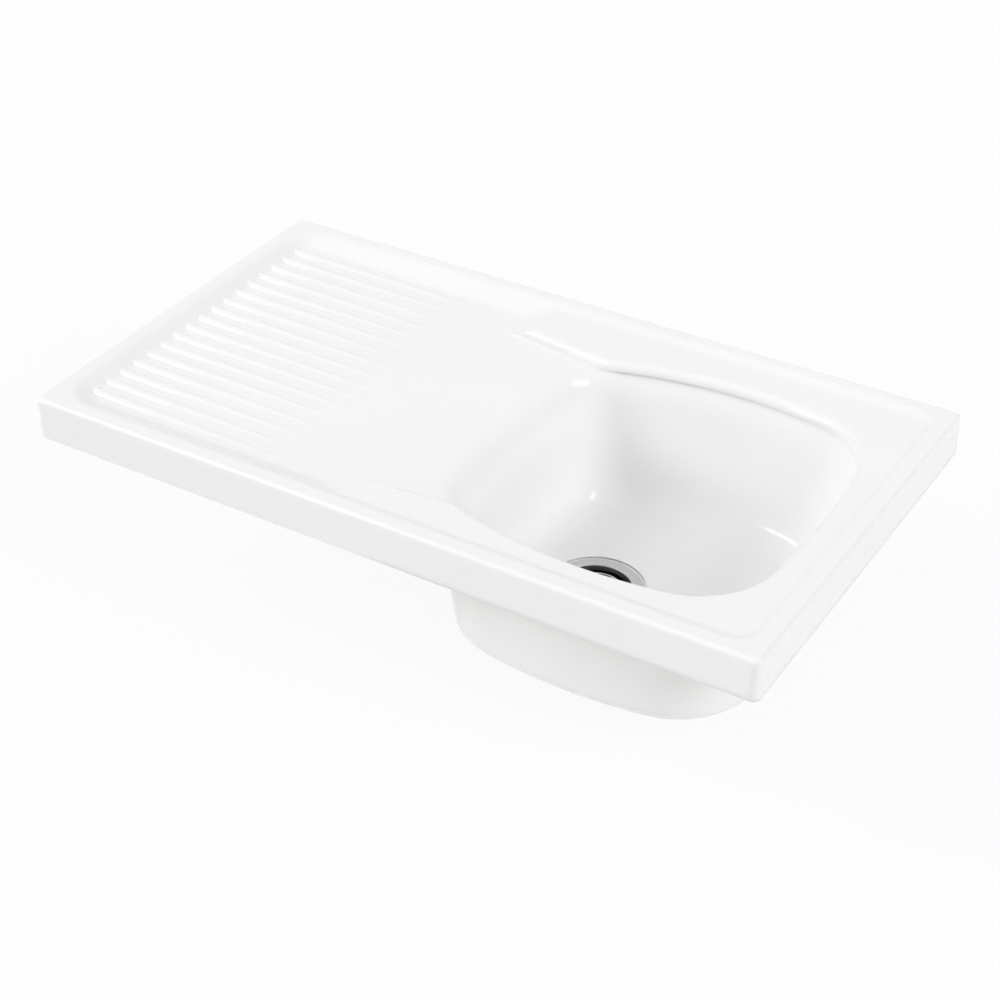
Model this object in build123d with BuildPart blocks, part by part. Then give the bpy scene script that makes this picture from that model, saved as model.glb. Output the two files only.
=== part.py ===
from build123d import *
from math import acos, atan, cos, radians, sin, sqrt, tan
import os

# Sit-on ceramic kitchen sink: drainer on the left, bowl on the right, basket strainer waste.
# Millimetres. X runs along the length, Y from front to back, Z up.
# The origin is the middle of the rim that stands on the cabinet, so the skirt's foot is Z = 0.

# ---- Ceramic body: the slab and its skirt
length = 900.0
depth = 505.0
apron_height = 52.0
plan_corner = 8.0
top_edge_round = 5.0
foot_round = 2.5
skirt_wall = 18.0
slab_thickness = 13.0          # fired clay left under the drainer floor

# ---- Modelling allowances
overcut = 1.0                  # how far a cut or a pick of edges reaches past its face
level_match = 0.01             # how near to a level a face must lie to be picked

# ---- Lip and sunken deck
lip_width = 19.0               # flat crest, from the outer face to the top of the slope
lip_slope = 2.1                # run of the inner slope for each millimetre of drop
lip_slope_left = 1.9           # the same at the left end
lip_blend = 16.0
deck_drop = 4.0
deck_corner = 20.0
deck_blend = 16.0

# ---- Drainer field
field_end_slope = 3.5          # run of the right end's slope for each millimetre of drop
field_drop_left = 11.0         # floor under the lip at the left end
channel_drop = 14.0            # floor under the lip where it meets the bowl
field_corner = 16.0
field_end_corner = 14.0
field_blend = 14.0

# ---- Drainer ribs
rib_pitch = 24.0
rib_round = 9.0
rib_height = 3.2
rib_fade_length = 300.0        # from the slope's foot to where a rib has sunk into the floor
rib_count = 17

# ---- Channel between the drainer field and the bowl
channel_length = 93.0          # from the foot of the field's right end to where the spill begins
channel_front_margin = 66.0    # from the front face, at the channel's left end
channel_back_margin = 86.0     # from the back face, at the channel's left end
channel_knee = 10.0            # from the bowl's left wall to where the sides meet its bow

# ---- Bowl, inside
bowl_right_margin = 50.0       # from the right end to the bowl's edge
bowl_length = 350.0
bowl_front_margin = 51.0
bowl_back_margin = 73.0
bowl_depth = 150.0             # from the lip's top to the floor
bowl_draft = 5.5               # degrees, front, left and right walls
bowl_back_slope = 21.0         # degrees, back wall
side_bow_radius = 510.0        # front and back walls in plan
end_bow_radius = 900.0         # left and right walls in plan
bowl_right_corner = 92.0
bowl_left_corner = 55.0
spill_corner = 75.0
corner_tightening = 0.5        # how much a corner's radius shrinks as the walls come in
spill_roll = 42.0              # round over which the drainer falls into the bowl
floor_round = 36.0
bowl_edge_round = 8.0

# ---- Bowl, outside
shell_left_lead = 29.0         # how far the outside stands left of the inside's wall
shell_right_lead = 10.0
shell_front_lead = 35.0
shell_back_lead = 16.0
shell_floor = 14.0
shell_draft = 6.3              # degrees, front, left and right
shell_corner = 104.0
shell_bow_radius = 560.0
shell_edge_round = 19.0

# ---- Stiffening ribs under the drainer
web_thickness = 14.0
web_height = 16.0
cross_webs = 2

# ---- Tap position, left closed by a thin skin on the glazed side
tap_hole_radius = 17.5
tap_skin = 4.0
tap_back_margin = 37.5         # from the back face

# ---- Waste hole in the bowl's floor
waste_from_left = 115.0        # from the bowl's left wall at its edge
waste_from_front = 143.0
waste_hole_radius = 44.5
waste_seat_radius = 56.0
waste_seat_depth = 2.0

# ---- Steel flange and cup
flange_radius = 52.0
flange_edge_round = 0.8
flange_gasket_thickness = 1.0
flange_gasket_lap = 1.0        # the flange's rim stands this far out over its gasket
sheet = 1.2
cup_mouth_radius = 41.5
cup_top_radius = 38.0
cup_foot_radius = 37.0
cup_mouth_depth = 6.0
cup_depth = 40.0
cup_mouth_round = 2.5
cup_foot_round = 4.0
cup_slot_count = 6
cup_slot_inner = 12.0
cup_slot_outer = 27.0
cup_slot_width = 7.0

# ---- Plastic waste body under the bowl
body_gasket_thickness = 3.0
body_wall = 3.5
body_inner_radius = 42.0
body_collar_radius = 57.0
body_collar_height = 4.0
body_cup_depth = 26.0
body_cone_height = 20.0
outlet_radius = 23.9           # crest of a 1 1/2 inch pipe thread
outlet_bore_radius = 19.5
outlet_length = 22.0
hub_radius = 8.5
hub_length = 18.0
hub_arm_thickness = 5.0
hub_arm_count = 3

# ---- Clamping screw and its insert
insert_radius = 5.0
insert_length = 12.0
screw_radius = 3.0
screw_clearance = 0.2
screw_head_radius = 6.5
screw_head_height = 2.6
screw_slot_width = 1.4
screw_slot_depth = 1.2
screw_tip = 1.0                # how far the screw comes through the insert

# ---- Strainer basket
seal_lift = 0.3                # gap under the seal, at rest on the cup's floor
seal_radius = 30.5
seal_height = 9.0
seal_web = 2.4
seal_recess_radius = 10.0
seal_edge_round = 1.2
basket_foot_radius = 26.0
basket_top_radius = 30.0
basket_height = 25.0
basket_sheet = 1.0
basket_foot_round = 3.0
basket_bead_radius = 1.3
floor_slot_count = 12
floor_slot_inner = 12.0
floor_slot_outer = 22.0
floor_slot_width = 3.4
wall_slot_count = 24
wall_slot_width = 2.8
wall_slot_height = 15.0
stem_radius = 2.5
nut_across_flats = 8.0
nut_height = 3.0
washer_radius = 8.0
washer_thickness = 0.8
knob_radius = 10.0
knob_neck_radius = 4.5
knob_height = 9.0
knob_round = 2.5

# ---- Worked-out places
left_end = -length / 2
right_end = length / 2
front_face = -depth / 2
back_face = depth / 2
lip_top = apron_height
deck_level = lip_top - deck_drop
channel_level = lip_top - channel_drop
bowl_floor = lip_top - bowl_depth
slab_underside = channel_level - slab_thickness
shell_underside = bowl_floor - shell_floor

bowl_right = right_end - bowl_right_margin
bowl_left = bowl_right - bowl_length
bowl_front = front_face + bowl_front_margin
bowl_back = back_face - bowl_back_margin
bowl_middle = (bowl_left + bowl_right) / 2
spill_line = bowl_left - spill_roll

field_left = left_end + lip_width + lip_slope_left * field_drop_left
field_right = spill_line - channel_length
field_end_tilt = atan(1 / field_end_slope)
channel_left = field_right - field_blend * tan(field_end_tilt / 2)

waste_x = bowl_left + waste_from_left
waste_y = bowl_front + waste_from_front
waste_seat = bowl_floor - waste_seat_depth

tap_x = bowl_middle
tap_y = back_face - tap_back_margin


def sag(reach, radius):
    """How far an arc of this radius falls back at this distance from its crown."""
    return radius - sqrt(radius**2 - reach**2)


def bowed_outline(level, left, right, front, back, crown_x, side_radius, end_radius,
                  left_corner, right_corner):
    """A four-sided outline with gently bowed sides and round corners, at a given height."""
    half_width = (back - front) / 2
    middle_y = (front + back) / 2
    end_fall = sag(half_width - sag((right - left) / 2, side_radius), end_radius)
    x_left, x_right = left + end_fall, right - end_fall
    fall_left = sag(crown_x - x_left, side_radius)
    fall_right = sag(x_right - crown_x, side_radius)
    front_left = (x_left, front + fall_left)
    front_right = (x_right, front + fall_right)
    back_right = (x_right, back - fall_right)
    back_left = (x_left, back - fall_left)
    with BuildSketch(Plane.XY.offset(level)) as outline:
        with BuildLine():
            ThreePointArc(front_left, (crown_x, front), front_right)
            ThreePointArc(front_right, (right, middle_y), back_right)
            ThreePointArc(back_right, (crown_x, back), back_left)
            ThreePointArc(back_left, (left, middle_y), front_left)
        make_face()
        fillet(outline.vertices().group_by(Axis.X)[0], left_corner)
        fillet(outline.vertices().group_by(Axis.X)[-1], right_corner)
    return outline.sketch


def rectangle_outline(level, x_low, x_high, inset, left_corner, right_corner):
    """A rectangle inset from the front and back faces, with round corners, at a given height."""
    with BuildSketch(Plane.XY.offset(level)) as outline:
        with Locations(((x_low + x_high) / 2, 0)):
            Rectangle(x_high - x_low, depth - 2 * inset)
        if left_corner:
            fillet(outline.vertices().group_by(Axis.X)[0], left_corner)
        fillet(outline.vertices().group_by(Axis.X)[-1], right_corner)
    return outline.sketch


def wall_inset(drop, draft):
    """How far a bowl wall has come in at this drop under the lip: its draft, then the floor's round."""
    slope = radians(draft)
    round_drop = bowl_depth - floor_round * (1 - sin(slope))
    if drop <= round_drop:
        return (drop - deck_drop) * tan(slope)
    round_centre = (round_drop - deck_drop) * tan(slope) + floor_round * cos(slope)
    above_floor = bowl_depth - drop
    return round_centre - sqrt(floor_round**2 - (floor_round - above_floor) ** 2)


def spill_wall(drop):
    """X of the bowl's left wall at this drop: the spill's roll, then the wall, then the floor's round."""
    slope = radians(bowl_draft)
    roll_end = channel_drop + spill_roll * (1 - sin(slope))
    if drop < roll_end:
        return spill_line + spill_roll * sin(acos(1 - (drop - channel_drop) / spill_roll))
    wall_top = spill_line + spill_roll * cos(slope)
    return wall_top + wall_inset(drop, bowl_draft) - wall_inset(roll_end, bowl_draft)


def bowl_ring(drop):
    """The bowl's inner outline at this drop under the lip."""
    inset = wall_inset(drop, bowl_draft)
    rolled = min((drop - channel_drop) / spill_roll, 1.0)
    left_corner = spill_corner + (bowl_left_corner - spill_corner) * rolled
    return bowed_outline(
        lip_top - drop, spill_wall(drop), bowl_right - inset, bowl_front + inset,
        bowl_back - wall_inset(drop, bowl_back_slope), bowl_middle, side_bow_radius,
        end_bow_radius, left_corner - corner_tightening * inset,
        bowl_right_corner - corner_tightening * inset)


# ---- Space over the sunken deck
deck_inset = lip_width + lip_slope * deck_drop
deck_reach = right_end - field_right
with BuildPart() as deck_space:
    deck_foot = rectangle_outline(
        deck_level, field_right, right_end - deck_inset, deck_inset, 0, deck_corner)
    deck_brim = rectangle_outline(
        lip_top, field_right, right_end - lip_width, lip_width, 0,
        deck_corner + deck_inset - lip_width)
    loft(sections=[deck_foot, deck_brim], ruled=True)
    deck_feet = deck_space.faces().sort_by(Axis.Z)[0].edges().sort_by(Axis.X)[1:]
    fillet(deck_feet, deck_blend)

# ---- Space over the drainer field, its floor falling towards the bowl
field_inset = lip_width + lip_slope * channel_drop
field_fall = (channel_drop - field_drop_left) / (field_right - field_left)
field_floor = Plane(origin=(field_right, 0, channel_level), z_dir=(field_fall, 0, 1))
with BuildPart() as field_space:
    field_foot = rectangle_outline(
        channel_level, left_end + lip_width + lip_slope_left * channel_drop, field_right,
        field_inset, field_corner, field_end_corner)
    field_brim = rectangle_outline(
        lip_top, left_end + lip_width, field_right + field_end_slope * channel_drop, lip_width,
        field_corner + field_inset - lip_width, field_end_corner)
    loft(sections=[field_foot, field_brim], ruled=True)
    split(bisect_by=field_floor, keep=Keep.TOP)
    fillet(field_space.faces().sort_by(Axis.Z)[0].edges(), field_blend)

# ---- Ribs to be left standing in the field: long rods that sink into the falling floor
rib_left = field_left - lip_slope_left * field_drop_left
rib_sink = rib_round - rib_height
rib_dive = field_fall + rib_height / rib_fade_length
rib_reach = rib_fade_length + field_left - rib_left + rib_round
rib_line = Plane(
    origin=(field_left, 0, lip_top - field_drop_left - rib_sink),
    x_dir=(0, 1, 0), z_dir=(1, 0, -rib_dive))
with BuildPart() as ribs:
    with BuildSketch(rib_line.offset(rib_left - field_left)):
        with GridLocations(rib_pitch, rib_pitch, rib_count, 1):
            Circle(rib_round)
    extrude(amount=rib_reach)


def channel_outline(drop):
    """The channel and the bowl's mouth as one outline at this drop under the lip."""
    inset = wall_inset(drop, bowl_draft)
    right = bowl_right - inset
    front = bowl_front + inset
    back = bowl_back - wall_inset(drop, bowl_back_slope)
    middle_y = (front + back) / 2
    half_length = (right - spill_line) / 2
    x_right = right - sag((back - front) / 2 - sag(half_length, side_bow_radius), end_bow_radius)
    fall_right = sag(x_right - bowl_middle, side_bow_radius)
    x_knee = bowl_left + channel_knee
    fall_knee = sag(bowl_middle - x_knee, side_bow_radius)
    front_start = (channel_left, front_face + channel_front_margin + inset)
    front_knee = (x_knee, front + fall_knee)
    front_right = (x_right, front + fall_right)
    back_right = (x_right, back - fall_right)
    back_knee = (x_knee, back - fall_knee)
    back_start = (channel_left, back_face - channel_back_margin - inset)
    with BuildSketch(Plane.XY.offset(lip_top - drop)) as outline:
        with BuildLine():
            Line(front_start, front_knee)
            ThreePointArc(front_knee, (bowl_middle, front), front_right)
            ThreePointArc(front_right, (right, middle_y), back_right)
            ThreePointArc(back_right, (bowl_middle, back), back_knee)
            Line(back_knee, back_start)
            Line(back_start, front_start)
        make_face()
        corners = outline.vertices().group_by(Axis.X)[-1]
        fillet(corners, bowl_right_corner - corner_tightening * inset)
    return outline.sketch


# ---- Space over the channel, down to the level where the spill begins
with BuildPart() as channel_space:
    loft(sections=[channel_outline(channel_drop), channel_outline(deck_drop)], ruled=True)

# ---- Space inside the bowl, from the spill to the floor
spill_angles = (0, 45, 90 - bowl_draft)
floor_angles = (90 - bowl_draft, 60, 30, 0)
spill_drops = [channel_drop + spill_roll * (1 - cos(radians(turn))) for turn in spill_angles]
floor_drops = [bowl_depth - floor_round * (1 - cos(radians(turn))) for turn in floor_angles]
middle_drops = [(spill_drops[-1] + floor_drops[0]) / 2]
with BuildPart() as bowl_space:
    loft(sections=[bowl_ring(drop) for drop in spill_drops + middle_drops + floor_drops])


def shell_outline(level):
    """The bowl's outside in plan at this height."""
    inset = (slab_underside - level) * tan(radians(shell_draft))
    back_inset = (slab_underside - level) * tan(radians(bowl_back_slope))
    left = bowl_left - shell_left_lead + inset
    right = bowl_right + shell_right_lead - inset
    return bowed_outline(
        level, left, right, bowl_front - shell_front_lead + inset,
        bowl_back + shell_back_lead - back_inset, (left + right) / 2, shell_bow_radius,
        end_bow_radius, shell_corner - corner_tightening * inset,
        shell_corner - corner_tightening * inset)


# ---- Outside of the bowl
with BuildPart() as bowl_shell:
    loft(sections=[shell_outline(shell_underside), shell_outline(slab_underside)], ruled=True)
    fillet(bowl_shell.faces().sort_by(Axis.Z)[0].edges(), shell_edge_round)

# ---- The ceramic, one piece
web_bay = (bowl_left - shell_left_lead - left_end - skirt_wall) / (cross_webs + 1)
long_web_length = bowl_left - left_end - skirt_wall
with BuildPart() as sink_body:
    with BuildSketch():
        RectangleRounded(length, depth, plan_corner)
    extrude(amount=apron_height)
    fillet(sink_body.faces().sort_by(Axis.Z)[-1].edges(), top_edge_round)
    fillet(sink_body.faces().sort_by(Axis.Z)[0].edges(), foot_round)
    with BuildSketch():
        RectangleRounded(length - 2 * skirt_wall, depth - 2 * skirt_wall, skirt_wall)
    extrude(amount=slab_underside, mode=Mode.SUBTRACT)
    with BuildSketch(Plane.XY.offset(slab_underside)):
        for number in range(cross_webs):
            with Locations((left_end + skirt_wall + (number + 1) * web_bay, 0)):
                Rectangle(web_thickness, depth - 2 * skirt_wall)
        with Locations((left_end + skirt_wall + long_web_length / 2, 0)):
            Rectangle(long_web_length, web_thickness)
    extrude(amount=-web_height)
    add(bowl_shell.part)
    add(deck_space.part, mode=Mode.SUBTRACT)
    add(field_space.part - ribs.part, mode=Mode.SUBTRACT)
    add(channel_space.part + bowl_space.part, mode=Mode.SUBTRACT)
    lip = sink_body.faces().filter_by(Plane.XY).sort_by(Axis.Z)[-1]
    fillet(lip.inner_wires()[0].edges(), lip_blend)
    deck_faces = sink_body.faces().filter_by(Plane.XY).filter_by_position(
        Axis.Z, deck_level - level_match, deck_level + level_match)
    deck_left = field_right + field_end_slope * (channel_drop - deck_drop)
    mouth = deck_faces.edges().filter_by_position(
        Axis.Y, bowl_front - overcut, bowl_back + overcut)
    fillet(mouth.filter_by_position(Axis.X, deck_left + overcut, bowl_right + overcut),
           bowl_edge_round)
    with BuildSketch(Plane.XY.offset(slab_underside)):
        with Locations((tap_x, tap_y)):
            Circle(tap_hole_radius)
    extrude(amount=deck_level - tap_skin - slab_underside, mode=Mode.SUBTRACT)
    with BuildSketch(Plane.XY.offset(shell_underside)):
        with Locations((waste_x, waste_y)):
            Circle(waste_hole_radius)
    extrude(amount=2 * shell_floor, mode=Mode.SUBTRACT)
    with BuildSketch(Plane.XY.offset(waste_seat)):
        with Locations((waste_x, waste_y)):
            Circle(waste_seat_radius)
    extrude(amount=waste_seat_depth + overcut, mode=Mode.SUBTRACT)


# ---- Waste fittings, all turned about the waste's own axis
waste_axis = Axis((waste_x, waste_y, 0), (0, 0, 1))
waste_section = Plane(origin=(waste_x, waste_y, 0), x_dir=(1, 0, 0), z_dir=(0, -1, 0))


def waste_plane(level):
    """A level plane centred on the waste's axis."""
    return Plane(origin=(waste_x, waste_y, level), x_dir=(1, 0, 0), z_dir=(0, 0, 1))


# ---- Ring under the steel flange
flange_gasket_top = waste_seat + flange_gasket_thickness
with BuildPart() as flange_gasket:
    with BuildSketch(waste_plane(waste_seat)):
        Circle(flange_radius - flange_gasket_lap)
        Circle(waste_hole_radius, mode=Mode.SUBTRACT)
    extrude(amount=flange_gasket_thickness)

# ---- Pressed steel flange and cup, one sheet
flange_top = flange_gasket_top + sheet
cup_floor = flange_top - cup_depth
screw_hole_radius = screw_radius + screw_clearance
with BuildPart() as waste_flange:
    with BuildSketch(waste_section):
        with BuildLine():
            FilletPolyline(
                (screw_hole_radius, cup_floor - sheet / 2),
                (cup_foot_radius + sheet / 2, cup_floor - sheet / 2),
                (cup_top_radius + sheet / 2, flange_top - cup_mouth_depth),
                (cup_mouth_radius, flange_top - sheet / 2),
                (flange_radius, flange_top - sheet / 2),
                radius=(cup_foot_round, cup_mouth_round, cup_mouth_round))
        trace(line_width=sheet)
    revolve(axis=waste_axis)
    with BuildSketch(waste_plane(cup_floor)):
        with PolarLocations((cup_slot_inner + cup_slot_outer) / 2, cup_slot_count):
            SlotOverall(cup_slot_outer - cup_slot_inner, cup_slot_width)
    extrude(amount=-sheet, mode=Mode.SUBTRACT)
    rim = waste_flange.edges().filter_by(GeomType.CIRCLE).group_by(SortBy.RADIUS)[-1]
    fillet(rim.sort_by(Axis.Z)[-1], flange_edge_round)

# ---- Thick ring between the ceramic and the plastic body
collar_top = shell_underside - body_gasket_thickness
with BuildPart() as body_gasket:
    with BuildSketch(waste_plane(collar_top)):
        Circle(body_collar_radius)
        Circle(waste_hole_radius, mode=Mode.SUBTRACT)
    extrude(amount=body_gasket_thickness)

# ---- Plastic waste body: collar, cup, cone, threaded outlet and a hub on arms
cone_top = collar_top - body_cup_depth
cone_foot = cone_top - body_cone_height
outlet_foot = cone_foot - outlet_length
hub_top = cup_floor - sheet
hub_foot = hub_top - hub_length
insert_top = hub_foot + insert_length
body_outer_radius = body_inner_radius + body_wall
with BuildPart() as waste_body:
    with BuildSketch(waste_section):
        with BuildLine():
            Polyline(
                (body_inner_radius, collar_top),
                (body_collar_radius, collar_top),
                (body_collar_radius, collar_top - body_collar_height),
                (body_outer_radius, collar_top - body_collar_height),
                (body_outer_radius, cone_top),
                (outlet_radius, cone_foot),
                (outlet_radius, outlet_foot),
                (outlet_bore_radius, outlet_foot),
                (outlet_bore_radius, cone_foot + body_wall),
                (body_inner_radius, cone_top + body_wall),
                close=True)
        make_face()
    revolve(axis=waste_axis)
    with BuildSketch(waste_plane(hub_top)):
        Circle(hub_radius)
        with PolarLocations(body_inner_radius / 2, hub_arm_count):
            Rectangle(body_inner_radius, hub_arm_thickness)
    extrude(amount=-hub_length)
    with BuildSketch(waste_plane(hub_foot)):
        Circle(insert_radius)
    extrude(amount=insert_length, mode=Mode.SUBTRACT)
    with BuildSketch(waste_plane(insert_top)):
        Circle(screw_hole_radius)
    extrude(amount=hub_top - insert_top, mode=Mode.SUBTRACT)

# ---- Brass insert in the hub
with BuildPart() as screw_insert:
    with BuildSketch(waste_plane(hub_foot)):
        Circle(insert_radius)
        Circle(screw_radius, mode=Mode.SUBTRACT)
    extrude(amount=insert_length)

# ---- Slotted screw that clamps the steel cup to the hub
with BuildPart() as clamp_screw:
    with BuildSketch(waste_plane(cup_floor)):
        Circle(screw_head_radius)
    extrude(amount=screw_head_height)
    fillet(clamp_screw.edges().sort_by(Axis.Z)[-1], screw_slot_depth / 2)
    with BuildSketch(waste_plane(cup_floor + screw_head_height)):
        Rectangle(2 * screw_head_radius, screw_slot_width)
    extrude(amount=-screw_slot_depth, mode=Mode.SUBTRACT)
    with BuildSketch(waste_plane(cup_floor)):
        Circle(screw_radius)
    extrude(amount=hub_foot - screw_tip - cup_floor)

# ---- Rubber plug under the basket, recessed for washer and nut
seal_foot = cup_floor + seal_lift
seal_top = seal_foot + seal_height
web_foot = seal_top - seal_web
with BuildPart() as basket_seal:
    with BuildSketch(waste_section):
        with BuildLine():
            Polyline(
                (stem_radius, seal_top),
                (seal_radius, seal_top),
                (seal_radius, seal_foot),
                (seal_recess_radius, seal_foot),
                (seal_recess_radius, web_foot),
                (stem_radius, web_foot),
                close=True)
        make_face()
    revolve(axis=waste_axis)
    rims = basket_seal.edges().filter_by(GeomType.CIRCLE).sort_by(SortBy.RADIUS)[-2:]
    fillet(rims, seal_edge_round)

# ---- Strainer basket: one pressed sheet with slots and a rolled rim
basket_floor = seal_top + basket_sheet
basket_rim = basket_floor + basket_height
with BuildPart() as strainer_basket:
    with BuildSketch(waste_section):
        with BuildLine():
            FilletPolyline(
                (stem_radius, basket_floor - basket_sheet / 2),
                (basket_foot_radius, basket_floor - basket_sheet / 2),
                (basket_top_radius, basket_rim),
                radius=basket_foot_round)
        trace(line_width=basket_sheet)
        with Locations((basket_top_radius + basket_bead_radius / 2, basket_rim)):
            Circle(basket_bead_radius)
    revolve(axis=waste_axis)
    with BuildSketch(waste_plane(basket_floor)):
        with PolarLocations((floor_slot_inner + floor_slot_outer) / 2, floor_slot_count):
            SlotOverall(floor_slot_outer - floor_slot_inner, floor_slot_width)
    extrude(amount=-basket_sheet, mode=Mode.SUBTRACT)
    wall_slot_level = basket_floor + basket_height / 2
    for number in range(wall_slot_count):
        turn = 360 * (number + 0.5) / wall_slot_count
        slot_plane = Plane(
            origin=(waste_x, waste_y, wall_slot_level),
            x_dir=(0, 0, 1), z_dir=(cos(radians(turn)), sin(radians(turn)), 0))
        with BuildSketch(slot_plane.offset(basket_foot_radius - basket_foot_round)):
            SlotOverall(wall_slot_height, wall_slot_width)
        extrude(amount=2 * basket_foot_round + basket_top_radius - basket_foot_radius,
                mode=Mode.SUBTRACT)

# ---- Washer and nut that hold the plug on the stem
with BuildPart() as stem_washer:
    with BuildSketch(waste_plane(web_foot - washer_thickness)):
        Circle(washer_radius)
        Circle(stem_radius, mode=Mode.SUBTRACT)
    extrude(amount=washer_thickness)

nut_top = web_foot - washer_thickness
with BuildPart() as stem_nut:
    with BuildSketch(waste_plane(nut_top - nut_height)):
        RegularPolygon(nut_across_flats / 2, 6, major_radius=False)
        Circle(stem_radius, mode=Mode.SUBTRACT)
    extrude(amount=nut_height)

# ---- Stem from the nut up into the knob
knob_foot = basket_rim - knob_height
with BuildPart() as basket_stem:
    with BuildSketch(waste_plane(nut_top - nut_height)):
        Circle(stem_radius)
    extrude(amount=knob_foot + knob_height / 2 - nut_top + nut_height)

# ---- Pull knob
with BuildPart() as basket_knob:
    with BuildSketch(waste_section):
        with BuildLine():
            Polyline(
                (0, knob_foot + knob_height / 2),
                (stem_radius, knob_foot + knob_height / 2),
                (stem_radius, knob_foot),
                (knob_neck_radius, knob_foot),
                (knob_neck_radius, knob_foot + knob_height / 3),
                (knob_radius, knob_foot + knob_height / 2),
                (knob_radius, knob_foot + knob_height),
                (0, knob_foot + knob_height),
                close=True)
        make_face()
    revolve(axis=waste_axis)
    fillet(basket_knob.edges().filter_by(GeomType.CIRCLE).sort_by(Axis.Z)[-1], knob_round)

# ---- Write the pieces
pieces = {
    "sink_body": sink_body,
    "flange_gasket": flange_gasket,
    "waste_flange": waste_flange,
    "body_gasket": body_gasket,
    "waste_body": waste_body,
    "screw_insert": screw_insert,
    "clamp_screw": clamp_screw,
    "basket_seal": basket_seal,
    "strainer_basket": strainer_basket,
    "stem_washer": stem_washer,
    "stem_nut": stem_nut,
    "basket_stem": basket_stem,
    "basket_knob": basket_knob,
}
os.makedirs("parts", exist_ok=True)
for name, piece in pieces.items():
    piece.part.label = name
    export_step(piece.part, f"parts/{name}.step")
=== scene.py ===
"""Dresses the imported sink: glaze, steel, rubber and plastic, in a plain white studio.

Metres, in the part's own frame: X along the length, Y from front to back, Z up.
"""
import math

import bpy
from mathutils import Matrix, Vector


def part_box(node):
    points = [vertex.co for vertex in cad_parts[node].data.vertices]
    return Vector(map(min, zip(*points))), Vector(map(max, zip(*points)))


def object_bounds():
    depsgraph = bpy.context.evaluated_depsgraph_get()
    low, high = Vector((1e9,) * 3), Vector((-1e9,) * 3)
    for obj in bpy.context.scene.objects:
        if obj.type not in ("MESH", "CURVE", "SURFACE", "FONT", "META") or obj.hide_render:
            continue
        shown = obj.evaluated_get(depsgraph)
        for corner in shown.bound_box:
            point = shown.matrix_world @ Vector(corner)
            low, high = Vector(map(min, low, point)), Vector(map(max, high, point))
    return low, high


# ---- Camera, as fitted to the outer corners of the sink in the photograph
CAMERA_AZIMUTH = 32.16          # degrees to the right of straight in front
CAMERA_ELEVATION = 35.01
CAMERA_ROLL = 0.62
CAMERA_DISTANCE = 2.1925
CAMERA_AIM = (0.1020, -0.1524, 0.0520)
CAMERA_LENS = 76.05             # millimetres
CAMERA_SENSOR = 36.0            # millimetres, square
CAMERA_REACH = 60.0

# ---- Studio
FLOOR_GAP = 0.001               # the floor lies this far under the lowest point
FLOOR_SIZE = 30.0
FLOOR_GREY = 0.82
FLOOR_ROUGHNESS = 0.9
FLOOR_WHITENESS = 0.92          # share of plain white that the camera sees on the floor
SKY_STRENGTH = 0.42             # as a light; to the eye and in mirrors the sky is white
WHITE = (1.0, 1.0, 1.0)
BROAD_SPREAD = 32.0             # degrees across, as seen from the sink
BROAD_LAMPS = {                 # azimuth from the front, elevation, and share of the light
    "left": (294.0, 35.0, 0.53),
    "right": (90.0, 35.0, 0.47),
    "front": (0.0, 12.0, 0.12),
    "back": (180.0, 12.0, 0.06),
}
LAMP_DISTANCE = 3.0
STRIPS = {                      # azimuth, elevation, degrees wide and high, brightness
    "front_left": (309.0, 42.0, 26.0, 6.0, 9.0),
    "back_right": (130.0, 58.0, 26.0, 8.0, 4.5),
}

# ---- Finishes. Clouds, grain, peel and rings are noise, in cells to the metre. A shade is
# the colour's other tone, as a share of the first. Relief is the bump's strength.
CLOUD_RANGE = (0.3, 0.7)        # nearly all noise lies between these values
GRAIN_DETAIL = 2.0
GRAIN_DEPTH = 0.0001

GLAZE_WHITE = (0.885, 0.888, 0.882)
GLAZE_SHADE = 0.985
GLAZE_CLOUDS = 5.0
GLAZE_DETAIL = 2.0
GLAZE_CLOUD_RANGE = (0.35, 0.65)
GLAZE_ROUGHNESS = 0.06
GLAZE_IOR = 1.5
PEEL_SCALE = 70.0
PEEL_FINENESS = 0.4
PEEL_RELIEF = 0.25
PEEL_DEPTH = 0.0004
GLAZE_FLOW = 0.013              # the glaze rounds the bowl's creases over about this distance
FLOW_SAMPLES = 8
FLOW_HEIGHTS = (0.044, 0.048)   # in full below the first, not at all above the second
FLOW_START = (-0.02, 0.02)      # along X: not at all before the first, in full after the second

BISCUIT = (0.80, 0.76, 0.69)
BISCUIT_SHADE = 0.93
BISCUIT_CLOUDS = 60.0
BISCUIT_DETAIL = 4.0
BISCUIT_ROUGHNESS = 0.75
BISCUIT_SLOPES = (-0.97, -0.90)  # upright part of the normal, from all biscuit to all glaze

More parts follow.
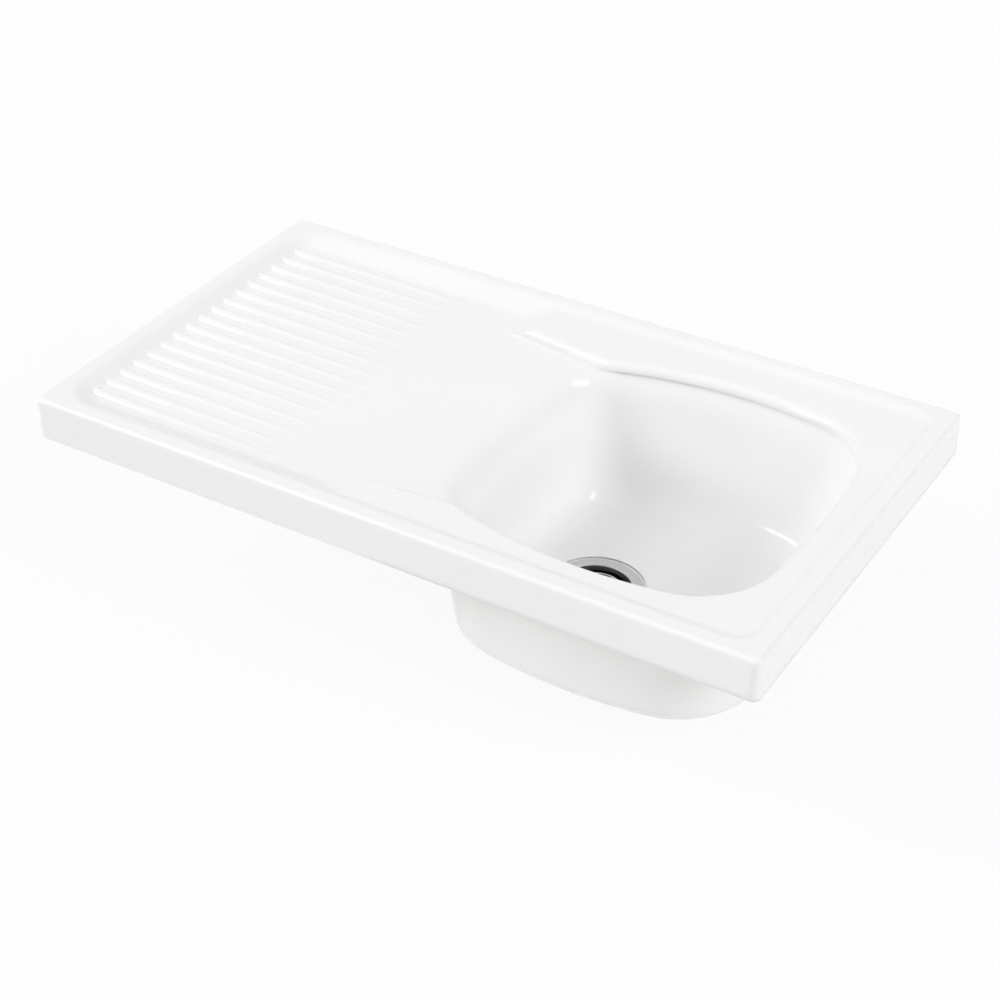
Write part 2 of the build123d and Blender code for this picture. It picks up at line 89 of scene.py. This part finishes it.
STEEL = (0.54, 0.54, 0.535)
STEEL_SHADE = 0.92
STEEL_CLOUDS = 90.0
STEEL_DETAIL = 3.0
ROUGHNESS_RANGE = (0.8, 1.25)   # of the steel's own roughness, from ring to ring
INSIDE_PAINTED_SHADE = 0.06          # painted shade: how much of the steel's tone is left deep in the cup, where its shadow falls
PAINTED_SHADE_FACING = (-0.9, -0.5)    # outward part of the normal, from full painted shade to none
STEELS = {
    "satin_steel": dict(colour=STEEL, roughness=0.32, rings=3500.0, relief=0.25),
    "basket_steel": dict(colour=(0.50, 0.50, 0.495), roughness=0.20, rings=900.0, relief=0.08),
    "screw_steel": dict(colour=STEEL, roughness=0.26, rings=900.0, relief=0.08),
}
OTHERS = {
    "gasket_rubber": dict(colour=(0.060, 0.060, 0.062), shade=1.6, cloud_scale=120.0,
                          detail=4.0, roughness=(0.55, 0.72), metallic=0.0,
                          grain=2500.0, relief=0.3),
    "seal_rubber": dict(colour=(0.014, 0.014, 0.015), shade=1.6, cloud_scale=120.0,
                        detail=4.0, roughness=(0.55, 0.72), metallic=0.0,
                        grain=2500.0, relief=0.3),
    "waste_plastic": dict(colour=(0.72, 0.72, 0.70), shade=0.95, cloud_scale=40.0,
                          detail=3.0, roughness=(0.34, 0.44), metallic=0.0,
                          grain=1800.0, relief=0.2),
    "insert_brass": dict(colour=(0.72, 0.52, 0.22), shade=0.8, cloud_scale=300.0,
                         detail=3.0, roughness=(0.25, 0.4), metallic=1.0,
                         grain=2000.0, relief=0.15),
}
PIECES = {                      # the material of each carried-over piece
    "glazed_ceramic": ["sink_body"],
    "satin_steel": ["waste_flange"],
    "basket_steel": ["strainer_basket", "basket_knob"],
    "screw_steel": ["clamp_screw", "stem_washer", "stem_nut", "basket_stem"],
    "gasket_rubber": ["flange_gasket", "body_gasket"],
    "seal_rubber": ["basket_seal"],
    "waste_plastic": ["waste_body"],
    "insert_brass": ["screw_insert"],
}


# ---- Nodes
def new_material(name):
    """A material with a Principled shader, and the shader, tree and object coordinates."""
    material = bpy.data.materials.new(name)
    material.use_nodes = True
    tree = material.node_tree
    place = tree.nodes.new("ShaderNodeTexCoord")
    return material, tree, tree.nodes["Principled BSDF"], place.outputs["Object"]


def feed(tree, value, socket):
    """Links a socket to an input, or sets the input to a number or a vector."""
    if isinstance(value, bpy.types.NodeSocket):
        tree.links.new(value, socket)
    else:
        socket.default_value = value


def split(tree, vector):
    """The X, Y and Z of a vector."""
    parts = tree.nodes.new("ShaderNodeSeparateXYZ")
    tree.links.new(vector, parts.inputs["Vector"])
    return parts.outputs


def true_normal(tree):
    """The normal of the mesh itself, with no bump."""
    return tree.nodes.new("ShaderNodeNewGeometry").outputs["True Normal"]


def calculate(tree, operation, first, second):
    """One step of arithmetic."""
    step = tree.nodes.new("ShaderNodeMath")
    step.operation = operation
    feed(tree, first, step.inputs[0])
    feed(tree, second, step.inputs[1])
    return step.outputs["Value"]


def calculate_vector(tree, operation, first, second=None, output="Vector"):
    """One step of arithmetic on vectors."""
    step = tree.nodes.new("ShaderNodeVectorMath")
    step.operation = operation
    feed(tree, first, step.inputs[0])
    if second is not None:
        feed(tree, second, step.inputs[1])
    return step.outputs[output]


def ramp(tree, value, low, high, low_value, high_value):
    """Maps a value from one range to another, clamped."""
    mapped = tree.nodes.new("ShaderNodeMapRange")
    mapped.inputs["From Min"].default_value = low
    mapped.inputs["From Max"].default_value = high
    mapped.inputs["To Min"].default_value = low_value
    mapped.inputs["To Max"].default_value = high_value
    tree.links.new(value, mapped.inputs["Value"])
    return mapped.outputs["Result"]


def noise(tree, place, scale, detail, fineness=0.5):
    """Noise with this many cells to the metre."""
    texture = tree.nodes.new("ShaderNodeTexNoise")
    texture.inputs["Scale"].default_value = scale
    texture.inputs["Detail"].default_value = detail
    texture.inputs["Roughness"].default_value = fineness
    tree.links.new(place, texture.inputs["Vector"])
    return texture.outputs["Fac"]


def clouds(tree, place, scale, detail, spread=CLOUD_RANGE):
    """Noise spread out to run from zero to one."""
    return ramp(tree, noise(tree, place, scale, detail), *spread, 0.0, 1.0)


def mix_colour(tree, factor, first, second):
    """Mixes two colours, each a tuple or a socket, by a socket."""
    mixed = tree.nodes.new("ShaderNodeMix")
    mixed.data_type = "RGBA"
    tree.links.new(factor, mixed.inputs["Factor"])
    for slot, colour in (("A", first), ("B", second)):
        socket = next(i for i in mixed.inputs if i.name == slot and i.type == "RGBA")
        feed(tree, (*colour, 1.0) if isinstance(colour, tuple) else colour, socket)
    return next(o for o in mixed.outputs if o.type == "RGBA")


def shaded(colour, share):
    """A colour times a share."""
    return tuple(channel * share for channel in colour)


def mix_shader(tree, factor, first, second):
    """Mixes two shaders by a socket."""
    mixed = tree.nodes.new("ShaderNodeMixShader")
    tree.links.new(factor, mixed.inputs["Fac"])
    tree.links.new(first, mixed.inputs[1])
    tree.links.new(second, mixed.inputs[2])
    return mixed.outputs["Shader"]


def bump(tree, shader, height, relief, depth, below=None):
    """Gives a shader a bump of this real depth, on top of another normal if given."""
    bumped = tree.nodes.new("ShaderNodeBump")
    bumped.inputs["Strength"].default_value = relief
    bumped.inputs["Distance"].default_value = depth
    tree.links.new(height, bumped.inputs["Height"])
    if below:
        tree.links.new(below, bumped.inputs["Normal"])
    tree.links.new(bumped.outputs["Normal"], shader.inputs["Normal"])


def seen_directly(tree):
    """One for rays from the camera, from mirrors and through glass, and zero for light."""
    rays = tree.nodes.new("ShaderNodeLightPath").outputs
    mirrored = calculate(tree, "MAXIMUM", rays["Is Camera Ray"], rays["Is Glossy Ray"])
    return calculate(tree, "MAXIMUM", mirrored, rays["Is Transmission Ray"])


# ---- Materials
def glazed_ceramic(name):
    """White glaze with a faint orange peel, and bare biscuit on the faces that point down."""
    material, tree, shader, place = new_material(name)
    tone = clouds(tree, place, GLAZE_CLOUDS, GLAZE_DETAIL, GLAZE_CLOUD_RANGE)
    white = mix_colour(tree, tone, GLAZE_WHITE, shaded(GLAZE_WHITE, GLAZE_SHADE))
    grain = clouds(tree, place, BISCUIT_CLOUDS, BISCUIT_DETAIL)
    biscuit = mix_colour(tree, grain, BISCUIT, shaded(BISCUIT, BISCUIT_SHADE))
    under = ramp(tree, split(tree, true_normal(tree))["Z"], *BISCUIT_SLOPES, 1.0, 0.0)
    tree.links.new(mix_colour(tree, under, white, biscuit), shader.inputs["Base Color"])
    tree.links.new(ramp(tree, under, 0.0, 1.0, GLAZE_ROUGHNESS, BISCUIT_ROUGHNESS),
                   shader.inputs["Roughness"])
    shader.inputs["IOR"].default_value = GLAZE_IOR
    soft = tree.nodes.new("ShaderNodeBevel")
    soft.samples = FLOW_SAMPLES
    position = split(tree, place)
    along = ramp(tree, position["X"], *FLOW_START, 0.0, 1.0)
    down = ramp(tree, position["Z"], *FLOW_HEIGHTS, GLAZE_FLOW, 0.0)
    tree.links.new(calculate(tree, "MULTIPLY", down, along), soft.inputs["Radius"])
    peel = noise(tree, place, PEEL_SCALE, GRAIN_DETAIL, PEEL_FINENESS)
    bump(tree, shader, peel, PEEL_RELIEF, PEEL_DEPTH, below=soft.outputs["Normal"])
    return material


def steel(name, centre, colour, roughness, rings, relief):
    """Stainless steel brushed or polished in rings about an upright axis, with shade painted
    dark on its inward faces.
    """
    material, tree, shader, place = new_material(name)
    from_centre = calculate_vector(tree, "SUBTRACT", place, centre)
    across = calculate_vector(tree, "MULTIPLY", from_centre, (1.0, 1.0, 0.0))
    ring_place = tree.nodes.new("ShaderNodeCombineXYZ")
    tree.links.new(calculate_vector(tree, "LENGTH", across, output="Value"),
                   ring_place.inputs["X"])
    tree.links.new(split(tree, from_centre)["Z"], ring_place.inputs["Y"])
    brushing = noise(tree, ring_place.outputs["Vector"], rings, GRAIN_DETAIL)
    tint = clouds(tree, place, STEEL_CLOUDS, STEEL_DETAIL)
    bright = mix_colour(tree, tint, colour, shaded(colour, STEEL_SHADE))
    outward = calculate_vector(tree, "NORMALIZE", across)
    facing = calculate_vector(tree, "DOT_PRODUCT", outward, true_normal(tree), output="Value")
    # painted shade: faces that look in towards the waste's axis are coloured dark, standing in
    # for the shadow deep in the cup
    painted_shade = ramp(tree, facing, *PAINTED_SHADE_FACING, 1.0, 0.0)
    tree.links.new(mix_colour(tree, painted_shade, bright, shaded(colour, INSIDE_PAINTED_SHADE)),
                   shader.inputs["Base Color"])
    shader.inputs["Metallic"].default_value = 1.0
    least, most = (roughness * share for share in ROUGHNESS_RANGE)
    tree.links.new(ramp(tree, brushing, *CLOUD_RANGE, least, most), shader.inputs["Roughness"])
    bump(tree, shader, brushing, relief, GRAIN_DEPTH)
    return material


def clouded(name, colour, shade, cloud_scale, detail, roughness, metallic, grain, relief):
    """Rubber, plastic or brass: two tones in clouds, rougher where shaded, finely grained."""
    material, tree, shader, place = new_material(name)
    cloud = clouds(tree, place, cloud_scale, detail)
    tree.links.new(mix_colour(tree, cloud, colour, shaded(colour, shade)),
                   shader.inputs["Base Color"])
    tree.links.new(ramp(tree, cloud, 0.0, 1.0, *roughness), shader.inputs["Roughness"])
    shader.inputs["Metallic"].default_value = metallic
    bump(tree, shader, noise(tree, place, grain, GRAIN_DETAIL), relief, GRAIN_DEPTH)
    return material


# ---- Studio
def studio_floor(lowest):
    """A pale floor that reads as white paper, takes a soft shadow and is clear from below."""
    bpy.ops.mesh.primitive_plane_add(size=FLOOR_SIZE, location=(0, 0, lowest - FLOOR_GAP))
    floor = bpy.context.object
    floor.name = "studio_floor"
    material, tree, shader, _ = new_material("floor_paper")
    shader.inputs["Base Color"].default_value = (*shaded(WHITE, FLOOR_GREY), 1.0)
    shader.inputs["Roughness"].default_value = FLOOR_ROUGHNESS
    shader.inputs["Specular IOR Level"].default_value = 0.0
    white = tree.nodes.new("ShaderNodeEmission")
    white.inputs["Color"].default_value = (*WHITE, 1.0)
    white.inputs["Strength"].default_value = 1.0
    share = calculate(tree, "MULTIPLY", seen_directly(tree), FLOOR_WHITENESS)
    paper = mix_shader(tree, share, shader.outputs["BSDF"], white.outputs["Emission"])
    clear = tree.nodes.new("ShaderNodeBsdfTransparent")
    below = tree.nodes.new("ShaderNodeNewGeometry").outputs["Backfacing"]
    tree.links.new(mix_shader(tree, below, paper, clear.outputs["BSDF"]),
                   tree.nodes["Material Output"].inputs["Surface"])
    floor.data.materials.append(material)


def direction(azimuth, elevation):
    """The way from the sink to a lamp; azimuth 0 is the front and 90 the right end."""
    turn, lift = math.radians(azimuth), math.radians(elevation)
    return Vector((math.sin(turn) * math.cos(lift), -math.cos(turn) * math.cos(lift),
                   math.sin(lift)))


def hang(name, lamp, away):
    """Hangs a lamp in this direction, facing the sink."""
    holder = bpy.data.objects.new(name, lamp)
    bpy.context.collection.objects.link(holder)
    holder.location = away * LAMP_DISTANCE
    holder.rotation_euler = away.to_track_quat("Z", "Y").to_euler()
    return holder


def broad_lamp(name, azimuth, elevation, share):
    """A large soft source that lights the sink and isn't mirrored in its glaze."""
    lamp = bpy.data.lights.new(name, "SUN")
    lamp.angle = math.radians(BROAD_SPREAD)
    lamp.energy = math.pi * share
    hang(name, lamp, direction(azimuth, elevation)).visible_glossy = False


def strip(name, azimuth, elevation, wide, high, brightness):
    """A narrow strip that only shows as a glint in the glaze and the steel."""
    lamp = bpy.data.lights.new(name, "AREA")
    lamp.shape = "RECTANGLE"
    lamp.size, lamp.size_y = (2 * LAMP_DISTANCE * math.tan(math.radians(angle / 2))
                              for angle in (wide, high))
    lamp.energy = brightness * math.pi * lamp.size * lamp.size_y
    holder = hang(name, lamp, direction(azimuth, elevation))
    holder.visible_diffuse = False
    holder.visible_camera = False


def sky():
    """An even surrounding, white to the eye and in mirrors, and dimmer as a light."""
    world = bpy.data.worlds.new("studio_sky")
    bpy.context.scene.world = world
    world.use_nodes = True
    tree = world.node_tree
    background = tree.nodes["Background"]
    background.inputs["Color"].default_value = (*WHITE, 1.0)
    tree.links.new(ramp(tree, seen_directly(tree), 0.0, 1.0, SKY_STRENGTH, 1.0),
                   background.inputs["Strength"])


def camera():
    """The photograph's own view."""
    away = direction(CAMERA_AZIMUTH, CAMERA_ELEVATION)
    right = direction(CAMERA_AZIMUTH + 90.0, 0.0)
    data = bpy.data.cameras.new("photo_camera")
    data.lens = CAMERA_LENS
    data.sensor_width = CAMERA_SENSOR
    data.clip_end = CAMERA_REACH
    holder = bpy.data.objects.new("photo_camera", data)
    bpy.context.collection.objects.link(holder)
    axes = Matrix((right, away.cross(right), away)).transposed().to_4x4()
    holder.matrix_world = (Matrix.Translation(Vector(CAMERA_AIM) + away * CAMERA_DISTANCE)
                           @ axes @ Matrix.Rotation(math.radians(-CAMERA_ROLL), 4, "Z"))
    bpy.context.scene.camera = holder


# ---- The frame
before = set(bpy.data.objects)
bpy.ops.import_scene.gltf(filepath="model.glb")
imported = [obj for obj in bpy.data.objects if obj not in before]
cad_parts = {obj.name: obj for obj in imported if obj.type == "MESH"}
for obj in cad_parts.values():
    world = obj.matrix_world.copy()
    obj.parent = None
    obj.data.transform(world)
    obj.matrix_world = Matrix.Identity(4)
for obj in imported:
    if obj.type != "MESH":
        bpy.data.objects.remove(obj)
cad_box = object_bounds()
flange_low, flange_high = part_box("waste_flange")
waste_centre = (flange_low + flange_high) / 2

# ---- Materials on the carried-over pieces
materials = {"glazed_ceramic": glazed_ceramic("glazed_ceramic")}
for name, values in STEELS.items():
    materials[name] = steel(name, waste_centre, **values)
for name, values in OTHERS.items():
    materials[name] = clouded(name, **values)
for name, pieces in PIECES.items():
    for piece in pieces:
        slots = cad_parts[piece].data.materials
        slots.clear()
        slots.append(materials[name])

# ---- Studio
studio_floor(cad_box[0][2])
sky()
for name, values in BROAD_LAMPS.items():
    broad_lamp(f"broad_{name}", *values)
for name, values in STRIPS.items():
    strip(f"strip_{name}", *values)
camera()
bpy.context.scene.view_settings.view_transform = "Standard"
